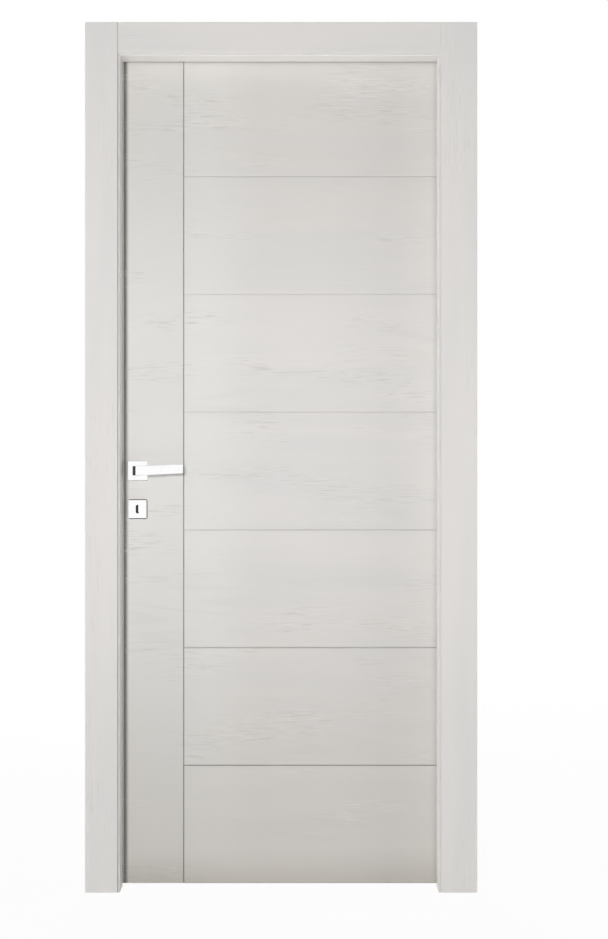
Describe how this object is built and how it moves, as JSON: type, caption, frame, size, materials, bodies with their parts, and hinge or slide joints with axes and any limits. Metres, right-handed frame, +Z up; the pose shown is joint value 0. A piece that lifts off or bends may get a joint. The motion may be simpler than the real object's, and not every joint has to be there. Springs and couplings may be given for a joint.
{
  "type": "interior door",
  "caption": "Hinged interior door: grooved white ash-finish leaf in a rebated frame with flat casings, square-rosette lever and key escutcheon in polished chrome.",
  "frame": {"origin": "on the hinge jamb's wall face, at floor level, in the middle of the wall's thickness", "axes": "+Z up; +Y through the wall, from the stop side to the hinge side, the way the leaf opens; +X from the lock jamb to the hinge jamb, out of the hinge jamb's wall face"},
  "size_m": [0.984, 0.165, 2.183],
  "materials": {
    "ash_lacquer": "white open-pore ash veneer finish, fine grain, satin",
    "edge_lacquer": "white lacquered edge band, satin",
    "polished_chrome": "polished chrome",
    "satin_chrome": "satin chrome plate",
    "lock_steel": "brushed nickel-plated steel",
    "seal_rubber": "dark grey seal strip"
  },
  "bodies": {
    "frame": {"lock_jamb": "ash_lacquer", "hinge_jamb": "ash_lacquer", "head_jamb": "ash_lacquer", "lock_stop": "ash_lacquer", "hinge_stop": "ash_lacquer", "head_stop": "ash_lacquer", "front_casing_left": "ash_lacquer", "front_casing_right": "ash_lacquer", "front_casing_head": "ash_lacquer", "back_casing_left": "ash_lacquer", "back_casing_right": "ash_lacquer", "back_casing_head": "ash_lacquer", "lock_gasket": "seal_rubber", "hinge_gasket": "seal_rubber", "head_gasket": "seal_rubber", "strike_plate": "lock_steel", "hinge_frame_half_top": "satin_chrome", "hinge_frame_half_middle": "satin_chrome", "hinge_frame_half_bottom": "satin_chrome"},
    "leaf": {"leaf_front_skin": "ash_lacquer", "leaf_back_skin": "ash_lacquer", "lock_stile": "edge_lacquer", "hinge_stile": "edge_lacquer", "top_rail": "edge_lacquer", "bottom_rail": "edge_lacquer", "lock_case": "lock_steel", "lock_forend": "lock_steel", "latch_bolt": "lock_steel", "dead_bolt": "lock_steel", "front_rosette": "polished_chrome", "back_rosette": "polished_chrome", "front_escutcheon": "polished_chrome", "back_escutcheon": "polished_chrome", "hinge_leaf_half_top": "satin_chrome", "hinge_leaf_half_middle": "satin_chrome", "hinge_leaf_half_bottom": "satin_chrome"},
    "lever": {"front_lever": "polished_chrome", "back_lever": "polished_chrome", "lever_spindle": "lock_steel"}
  },
  "joints": [
    {"name": "leaf_swing", "type": "hinge", "parent": "frame", "child": "leaf", "pos_m": [-0.0305, 0.0605, 1.057], "axis": [0, 0, -1], "range_deg": [0, 170]},
    {"name": "lever_turn", "type": "hinge", "parent": "leaf", "child": "lever", "pos_m": [-0.807, 0.0305, 1.058], "axis": [0, 1, 0], "range_deg": [0, 40], "stiffness_Nm_per_rad": 2, "springref_deg": -20.05}
  ]
}
